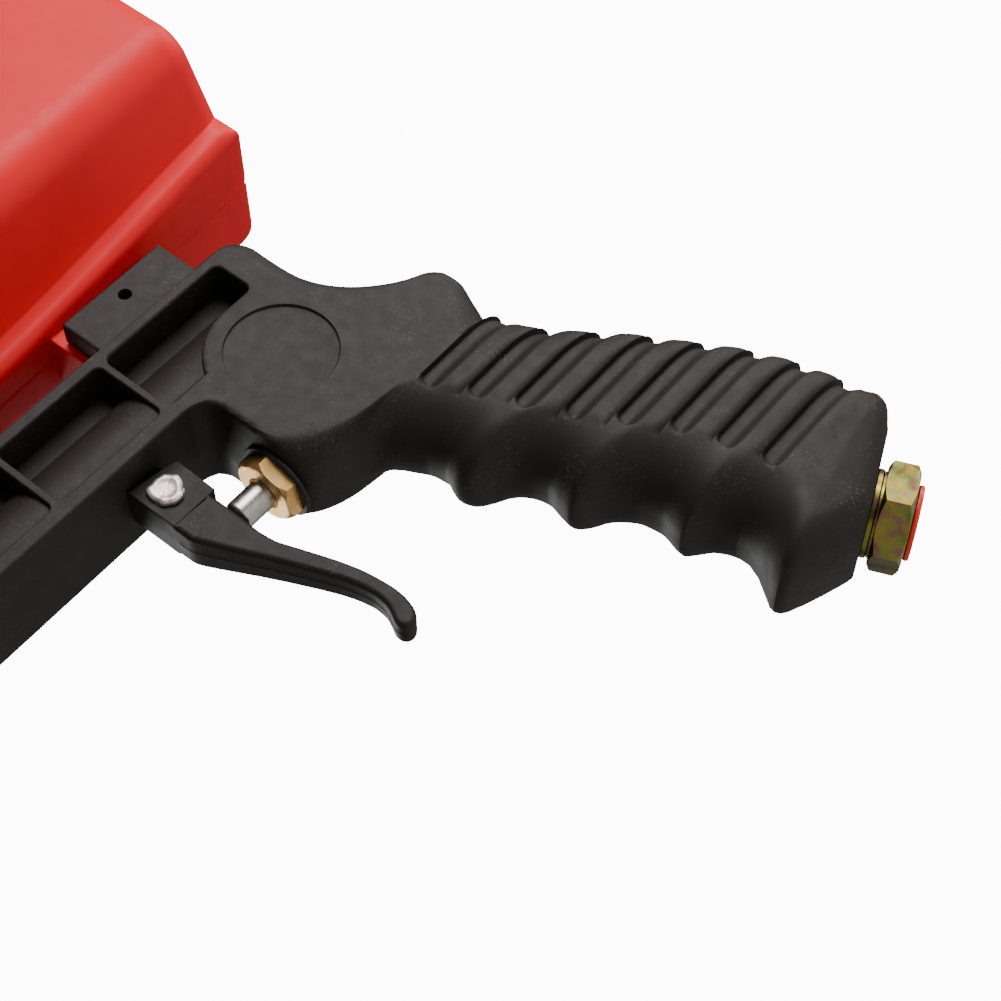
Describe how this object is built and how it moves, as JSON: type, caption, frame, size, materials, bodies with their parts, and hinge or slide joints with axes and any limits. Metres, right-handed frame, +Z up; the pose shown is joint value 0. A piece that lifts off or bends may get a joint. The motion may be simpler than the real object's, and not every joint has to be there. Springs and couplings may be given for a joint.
{
  "type": "sandblasting gun",
  "caption": "Hand-held gravity-feed abrasive blasting gun: pistol grip with ribbed beam, lever trigger, poppet air valve, top hopper with screw cap and straight ceramic nozzle.",
  "frame": {"origin": "centre of the air inlet's open end, where the hose coupling screws in", "axes": "+X to the rear, away from the nozzle; +Z up, to the hopper cap; Y across the gun, which is symmetric about Y = 0"},
  "size_m": [0.238, 0.0708, 0.2354],
  "materials": {
    "body_plastic": "black glass-filled nylon, dry and slightly dusty",
    "cap_plastic": "black moulded plastic",
    "hopper_plastic": "red polyethylene, satin",
    "plug_plastic": "bright red soft plastic",
    "brass": "turned brass, satin",
    "steel": "plain steel, turned",
    "zinc": "steel with yellow passivated zinc",
    "rivet_metal": "peened aluminium",
    "rubber": "black nitrile rubber",
    "ceramic": "off-white ceramic"
  },
  "bodies": {
    "gun": {"gun_body": "body_plastic", "inlet_washer": "zinc", "air_inlet_fitting": "zinc", "valve_bonnet": "brass", "bonnet_seal_ring": "rubber", "stem_o_ring": "rubber", "valve_spring": "steel", "valve_seat": "brass", "hopper_left_shell": "hopper_plastic", "hopper_right_shell": "hopper_plastic", "hopper_screw": "steel", "feed_seal": "rubber", "filler_neck": "hopper_plastic", "barrel_tube": "steel", "air_jet": "brass", "jet_o_ring": "rubber", "nozzle_gasket": "rubber", "ceramic_nozzle": "ceramic", "nozzle_nut": "cap_plastic"},
    "trigger": {"trigger": "body_plastic", "trigger_rivet": "rivet_metal"},
    "valve": {"valve_stem": "steel", "valve_poppet": "rubber"},
    "cap_gasket": {"cap_gasket": "rubber"},
    "filler_cap": {"filler_cap": "cap_plastic"},
    "inlet_plug": {"inlet_plug": "plug_plastic"}
  },
  "joints": [
    {"name": "trigger_pull", "type": "hinge", "parent": "gun", "child": "trigger", "pos_m": [-0.08499, 0, 0.10947], "axis": [0, -1, 0], "range_deg": [0, 14], "stiffness_Nm_per_rad": 0.6, "springref_deg": -28.65},
    {"name": "valve_slide", "type": "slide", "parent": "gun", "child": "valve", "axis": [1, 0, 0], "range_m": [0, 0.0032], "deforming": ["valve_spring"]},
    {"name": "cap_lift", "type": "slide", "parent": "gun", "child": "cap_gasket", "axis": [0, 0, 1], "range_m": [0, 0.0061]},
    {"name": "cap_turn", "type": "hinge", "parent": "cap_gasket", "child": "filler_cap", "pos_m": [-0.08259, 0, 0.22147], "axis": [0, 0, 1], "range_deg": [0, 720]},
    {"name": "plug_pull", "type": "slide", "parent": "gun", "child": "inlet_plug", "axis": [0.3907, 0, -0.9205], "range_m": [0, 0.012]}
  ],
  "couplings": [
    {"joint": "valve_slide", "follows": "trigger_pull", "m_per_rad": 0.01295},
    {"joint": "cap_lift", "follows": "cap_turn", "m_per_rad": 0.00047746}
  ]
}
